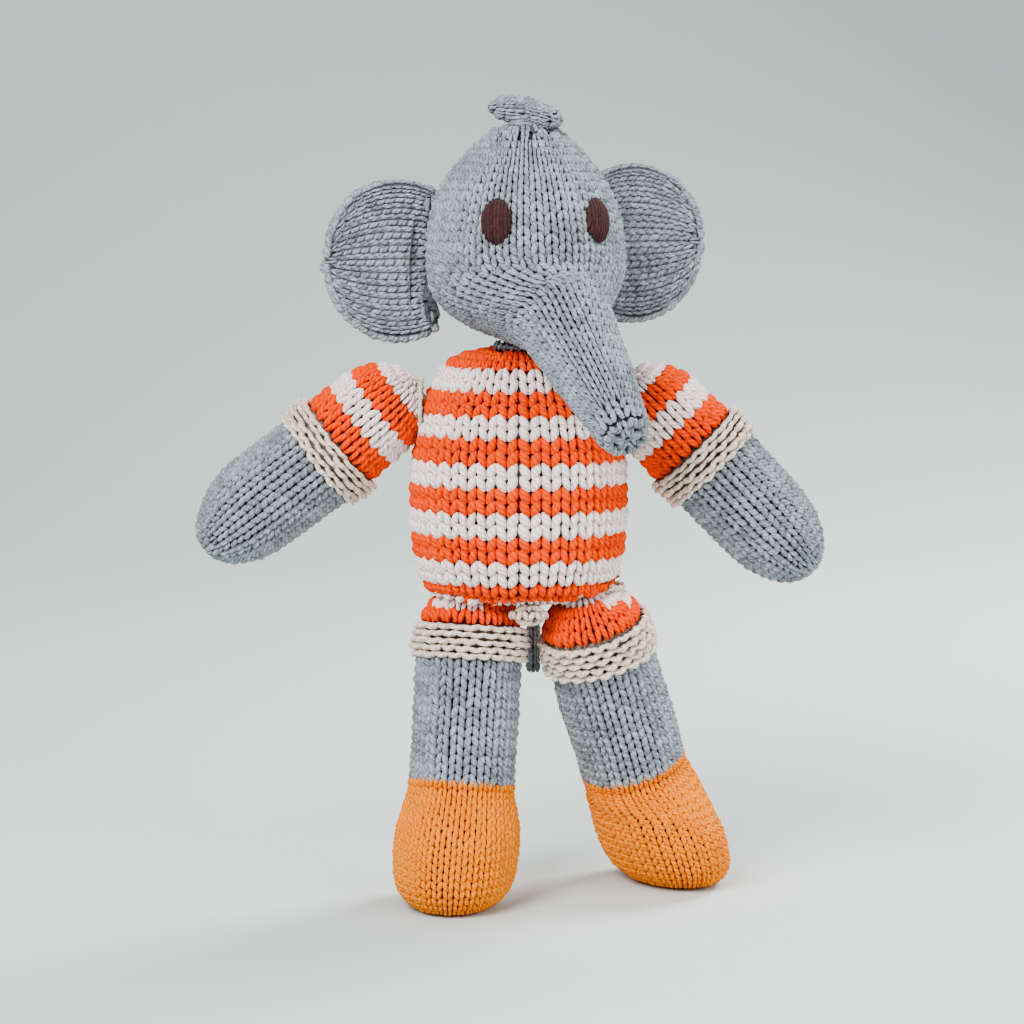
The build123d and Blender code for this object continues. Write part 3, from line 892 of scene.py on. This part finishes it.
def earFrame(side, sign):
    toRoot = compass(headYaw + sign * math.radians(earSize["rootAngle"]))
    root = np.array([headAt[0], headAt[1], 0]) + toRoot * earSize["rootRadius"]
    root[2] = earSize["height"][side]
    out = compass(headYaw + sign * math.radians(earSize["spread"]))
    front = unit(compass(headYaw) - out * (compass(headYaw) @ out))
    return root, out, front


def outOfHead(grid, out, clear):  # slide what is inside the head outwards along the ear
    flat = grid - np.array([headAt[0], headAt[1], 0])
    radius = headRadius(grid[..., 2]) + clear
    along = flat @ out
    apart = (flat[..., 0] ** 2 + flat[..., 1] ** 2) - radius**2
    short = np.where(apart < 0, np.sqrt(np.maximum(along**2 - apart, 0)) - along, 0)
    return grid + out * short[..., None]


def earGrid(side, sign, depth=0.0, rings=60):
    root, out, front = earFrame(side, sign)
    turn = np.arange(around) / around * 4
    level = np.where(turn < 2, 1 - turn, turn - 3)  # from top to bottom over the front, then back up
    level = 0.45 * level + 0.55 * np.sin(level * math.pi / 2)
    face = np.where(turn < 2, 1.0, -1.0)
    smaller = depth * 3.0
    reach = np.linspace(-15.0, earSize["out"] + earSize["halfWidth"] - 0.05 - smaller, rings)
    span = (reach - earSize["out"]) / (earSize["halfWidth"] - smaller)
    tall = (earSize["halfHeight"] - smaller) * np.sqrt(np.maximum(1 - span**2, 0.0004))
    z = tall[:, None] * level[None]
    apart = (reach - earSize["out"]) / earSize["halfWidth"]
    rim = np.sqrt(apart[:, None] ** 2 + (z / earSize["halfHeight"]) ** 2)
    thick = (earSize["half"] - depth) * np.sqrt(np.maximum(1 - np.minimum(rim, 1) ** 6, 0)) + 0.6
    middle = earSize["cup"] * (np.minimum(rim, 1) ** 2 - 0.5)
    grid = (root + out * reach[:, None, None] + up * z[..., None]
            + front * (middle + face[None] * thick)[..., None])
    return outOfHead(grid, out, -1.0)


for side, sign in sides.items():
    root, out, front = earFrame(side, sign)
    centre = np.array([headAt[0], headAt[1], 0])

    def clearOfHead(points):
        return np.hypot(*(points - centre)[:, :2].T) > headRadius(points[:, 2]) - 0.4

    cover = lumpy(earGrid(side, sign), 30 + sign, 0.3)
    ear = knitPiece(f"{side}EarKnit", cover, "greyYarn", **earSize["stitch"], aligned=False,
                    keep=clearOfHead, least=2.2)
    bendBetween(ear, "head", f"{side}_ear", root, out, *earSize["bend"])
    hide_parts(f"{side}_ear_cover")
    inner = outOfHead(earGrid(side, sign, 1.9), out, 6.0)
    padding = fabricMesh(f"{side}EarFilling", inner, materials["fibreFill"])
    bendBetween(padding, "head", f"{side}_ear", root, out, *earSize["bend"])
    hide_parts(f"{side}_ear_padding")
    stitches = []
    for face in (-1, 1):
        for k in range(10):
            z = -20 + 40 * (k + 0.5) / 10
            at = outOfHead((root + up * z + front * face * 3.6 - out * 12)[None, None], out, 0.6)[0, 0]
            t = np.linspace(0, 1, 5)[:, None]
            bow = front * face * (np.sin(t * math.pi) * 0.7)
            line = at + out * (t * 3.0 - 0.6) + up * (t - 0.5) * 2.4 + bow
            stitches.append(strand(line, 0.55, 6))
    seam = strandObject(f"{side}EarStitches", stitches, materials["greyYarn"])
    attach(seam, "head")
    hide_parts(f"{side}_ear_seam")
print("ears made")

# eyes: ovals of close upright stitches over a small swelling
eyeSize = dict(angle=32.5, z=248.5, wide=5.3, tall=7.8, dome=1.7, strands=9,
               lean={"right": -4.0, "left": 14.0})
for side, sign in sides.items():
    facing = compass(headYaw + sign * math.radians(eyeSize["angle"]))
    slope = (headRadius(eyeSize["z"] + 3) - headRadius(eyeSize["z"] - 3)) / 6
    outward = unit(facing - up * slope)
    across = unit(np.cross(outward, up))
    lengthwise = np.cross(across, outward)
    lean = math.radians(eyeSize["lean"][side])
    across, lengthwise = (across * math.cos(lean) + lengthwise * math.sin(lean),
                          lengthwise * math.cos(lean) - across * math.sin(lean))
    at = np.array([headAt[0], headAt[1], eyeSize["z"]]) + facing * headRadius(eyeSize["z"]) + outward * 0.5

    def onEye(x, y, lift=0.0):
        bulge = np.maximum(1 - (x / eyeSize["wide"]) ** 2 - (y / eyeSize["tall"]) ** 2, 0)
        curve = (x**2 / 2 + y**2 / 3) / 36
        height = eyeSize["dome"] * np.sqrt(bulge) - curve + lift
        return at + across * x[..., None] + lengthwise * y[..., None] + outward * height[..., None]

    parts = []
    for k in range(eyeSize["strands"]):
        x = (k + 0.5) / eyeSize["strands"] * 2 - 1
        tall = eyeSize["tall"] * math.sqrt(1 - x * x) + 0.2
        y = np.linspace(-1, 1, 9) * tall
        parts.append(strand(onEye(np.full(9, x * eyeSize["wide"]), y), 0.72, 8))
    rings = np.linspace(0.02, 1, 12)[:, None]
    angles = np.arange(48) / 48 * 2 * math.pi
    dome = onEye(rings * eyeSize["wide"] * np.cos(angles), rings * eyeSize["tall"] * np.sin(angles))
    back = dome[-1:] - outward * 2.0
    pad = np.concatenate([dome, back])
    eye = strandObject(f"{side}EyeStitches", parts, materials["eyeThread"])
    base = fabricMesh(f"{side}EyeBase", pad, materials["eyeThread"])
    eye = joined(f"{side}EyeStitches", [eye, base])
    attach(eye, "head")
    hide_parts(f"{side}_eye")
print("eyes made")

# the gathered crown: yarn wound round it, and a two-lobed knot
crownSize = dict(z=282.6, lobes=[  # middle (to the left, to the back, up), heading, half length, radius
    ((-2.4, 1.6, 5.0), 6.0, 11.5, 5.6), ((6.2, -4.2, 2.6), -38.0, 9.0, 5.6),
])
base = np.array([headAt[0], headAt[1], crownSize["z"]])
wraps = []
for k in range(4):
    a = np.arange(28) / 28 * 2 * math.pi
    radius = 5.2 + 0.5 * (k % 2)
    ring = np.stack([radius * np.cos(a), radius * np.sin(a), 0.4 * np.sin(a + k) + k * 0.8 - 0.6], 1) + base
    wraps.append(strand(ring, 0.62, 7, closed=True))
tie = strandObject("crownWinding", wraps, materials["greyYarn"])
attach(tie, "head")
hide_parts("crown_tie")
lobes = []
for k, (place, heading, half, radius) in enumerate(crownSize["lobes"]):
    middle = base + place
    s = np.linspace(-1, 1, 13)
    profile = [(half * q, max(radius * math.sqrt(max(1 - abs(q) ** 2.6, 0)), 0.5)) for q in s]
    turned = math.radians(heading)
    along = unit(np.array([math.cos(turned), math.sin(turned), -0.10 - 0.15 * k]))
    lobeGrid, _ = limbGrid(middle, along, profile, 40, up)
    lobeGrid[..., 2] = middle[2] + (lobeGrid[..., 2] - middle[2]) * 0.86
    lobes.append(knitPiece(f"topknotLobe{k + 1}", lumpy(lobeGrid, 40 + k, 0.35), "greyYarn", 9, 3.2, 1.2,
                           least=1.3, wide=1.35, fill=0))
knot = joined("topknotKnit", lobes)
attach(knot, "head")
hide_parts("topknot")
print("crown made")


# sewing where the stuffed pieces meet
def sewing(name, at, axis, radius, count, reach, material, node, body):
    x = unit(np.cross(axis, np.array([0.3, 1.0, 0.2])))
    y = np.cross(axis, x)
    a = np.arange(36) / 36 * 2 * math.pi
    circle = np.cos(a)[:, None] * x + np.sin(a)[:, None] * y
    parts = [strand(at + circle * radius, 0.75, 7, closed=True)]
    for k in range(count):  # short slanted stitches over the ring
        turn = (k + np.linspace(-0.35, 0.35, 5)) / count * 2 * math.pi
        t = np.linspace(-1, 1, 5)
        bow = radius + 0.75 * np.cos(t * math.pi / 2)
        circling = (np.cos(turn) * bow)[:, None] * x + (np.sin(turn) * bow)[:, None] * y
        parts.append(strand(at + circling + (t * reach)[:, None] * axis, 0.5, 6))
    obj = strandObject(name, parts, materials[material])
    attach(obj, body)
    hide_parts(node)


sewing("neckSewing", headAt + up * 1.6, up, 10.5, 22, 1.5, "greyYarn", "neck_seam", "neck")
for side, sign in sides.items():
    inward = np.array([-sign, 0.0, 0.0])
    shoulder = jointAt[f"{side}_arm_swing"] + inward * 14.4
    sewing(f"{side}ShoulderSewing", shoulder, inward, 10.4, 16, 0.8, "creamYarn", f"{side}_shoulder_seam",
           f"{side}_shoulder")
    hip = jointAt[f"{side}_leg_swing"] + up * 17.0
    sewing(f"{side}HipSewing", hip, up, 10.4, 16, 0.8, "creamYarn", f"{side}_hip_seam", f"{side}_hip")

gussetSize = dict(middle=(3.6, -15.5, 105.5), half=(8.0, 4.2, 4.0))
gussetAt = np.array([torsoAt[0], torsoAt[1], 0]) + gussetSize["middle"]
q = np.linspace(-1, 1, 24)
bulging = np.sqrt(np.maximum(1 - q**2, 0.002))
halfX, halfY, halfZ = gussetSize["half"]
gussetGrid = ringGrid(gussetAt + up * (q * halfZ)[:, None], toLeft[None], toBack[None],
                      halfX * bulging, halfY * bulging)
gusset = knitPiece("gussetKnit", gussetGrid[::-1], "creamYarn", 10, 3.4, 1.3, least=1.5, wide=1.2, fill=0)
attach(gusset, "torso")

# the tail: a narrow knitted cord
tailSize = dict(profile=[(-1.0, 2.2), (2, 2.7), (20, 2.6), (38, 2.8), (41.5, 2.0), (42, 0.6)], tilt=4.0)
tailAt = jointAt["tail_swing"]
tilt = math.radians(tailSize["tilt"])
tailAlong = np.array([0, math.sin(tilt), -math.cos(tilt)])
tailGrid, _ = limbGrid(tailAt, tailAlong, tailSize["profile"], 60)
tail = knitPiece("tailKnit", tailGrid, "greyYarn", 6, 3.4, 0.8, least=1.0, wide=1.3, fill=0)
bendBetween(tail, "torso", "tail", tailAt, tailAlong, -1, 6)
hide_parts("tail")
print("sewing and tail made")


# the fibre fill inside each knitted cover
def filling(name, grid, nodes):
    obj = fabricMesh(name, lumpy(grid, len(name), 0.4), materials["fibreFill"])
    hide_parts(*nodes)
    return obj


inside = dict(torso=6.0, head=5.2, arm=5.2, leg=5.4, shoe=5.2)  # how deep below the knit each filling starts
torsoFill = torsoGrid(inside["torso"])
torsoFill[..., 2] = np.clip(torsoFill[..., 2], 113.5, 195.5)
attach(filling("torsoFilling", torsoFill, ["torso_stuffing"]), "torso")
headFill = gourdGrid(inside["head"])
headFill[..., 2] = np.minimum(headFill[..., 2], 278.0)
bendTrunk(filling("headAndTrunkFilling", headFill, ["head_stuffing", "trunk_stuffing"]))
for side, sign in sides.items():
    at = jointAt[f"{side}_arm_swing"]
    along = armAlong(side, sign)
    profile = [(min(max(s, -11.5), 78.5), max(r - inside["arm"], 0.4)) for s, r in armSize["profile"]]
    armFill, _ = limbGrid(at, along, profile[1:-1], 90)
    piece = filling(f"{side}ArmFilling", armFill, [f"{side}_arm_stuffing"])
    bendBetween(piece, f"{side}_shoulder", f"{side}_arm", at, along, *armSize["bend"])
    at = jointAt[f"{side}_leg_swing"]
    along = legAlong(side)
    profile = [(max(s, -13.5), max(r - inside["leg"], 0.4)) for s, r in legSize["profile"]]
    profile += [(55.6, 14.0), (55.7, 0.6)]
    legFill, _ = limbGrid(at, along, profile, 90)
    piece = filling(f"{side}LegFilling", legFill, [f"{side}_leg_stuffing"])
    bendBetween(piece, f"{side}_hip", f"{side}_leg", at, along, *legSize["bend"])
    shoeFill = shoeGrid(side, at, along, inside["shoe"])
    shoeFill[..., 2] = np.maximum(shoeFill[..., 2], 4.2)
    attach(filling(f"{side}ShoeFilling", shoeFill, [f"{side}_shoe_stuffing"]), f"{side}_leg")
print("fillings made")
for shape in (kneeShape, purlShape):
    bpy.data.objects.remove(shape)

# floor, light and camera
stage = dict(cameraHigh=7.0, distance=1249.0, lens=120.0, aimX=0.67, aimZ=141.3)


def plainMaterial(name, color, roughness):
    material = bpy.data.materials.new(name)
    material.use_nodes = True
    shader = material.node_tree.nodes["Principled BSDF"]
    shader.inputs["Base Color"].default_value = (*color, 1)
    shader.inputs["Roughness"].default_value = roughness
    return material


bow = np.linspace(0, math.pi / 2, 20)  # a floor that curves up into a backdrop
sweep = [(900 + 900 * math.sin(a), 900 - 900 * math.cos(a) - 0.05) for a in bow]
sweep = [(-3000.0, -0.05)] + sweep + [(1800.0, 4000.0)]
floor = meshObject("floor", [(x, y, z) for y, z in sweep for x in (-4000, 4000)],
                   [(2 * k, 2 * k + 1, 2 * k + 3, 2 * k + 2) for k in range(len(sweep) - 1)],
                   [plainMaterial("paleFloor", (0.60, 0.655, 0.64), 0.9)])


lights = {
    "keyLight": dict(place=(-0.55, -0.9, 0.95), size=0.7, power=23),
    "fillLight": dict(place=(0.9, -0.7, 0.5), size=0.9, power=8),
    "rimLight": dict(place=(0.75, 0.75, 0.8), size=0.5, power=20),
}
lightAim = (0, 0, 0.15)
for name, values in lights.items():
    light = bpy.data.lights.new(name, "AREA")
    light.size, light.energy = values["size"], values["power"]
    obj = inScene(name, light)
    obj.location = values["place"]
    toAim = Vector(lightAim) - Vector(values["place"])
    obj.rotation_euler = toAim.to_track_quat("-Z", "Y").to_euler()
bpy.context.scene.view_settings.look = "AgX - Medium High Contrast"
world = bpy.data.worlds.new("studio")
bpy.context.scene.world = world
world.use_nodes = True
sky = world.node_tree.nodes["Background"].inputs
sky["Color"].default_value = (0.80, 0.86, 0.86, 1)
sky["Strength"].default_value = 0.55

cameraData = bpy.data.cameras.new("camera")
cameraData.lens, cameraData.sensor_width = stage["lens"], 36
camera = inScene("camera", cameraData)
bpy.context.scene.camera = camera
tilt = math.radians(stage["cameraHigh"])
aim = np.array([stage["aimX"], torsoAt[1], stage["aimZ"]])
camera.location = (aim + np.array([0, -math.cos(tilt), math.sin(tilt)]) * stage["distance"]) * mm
camera.rotation_euler = (math.radians(90) - tilt, 0, 0)
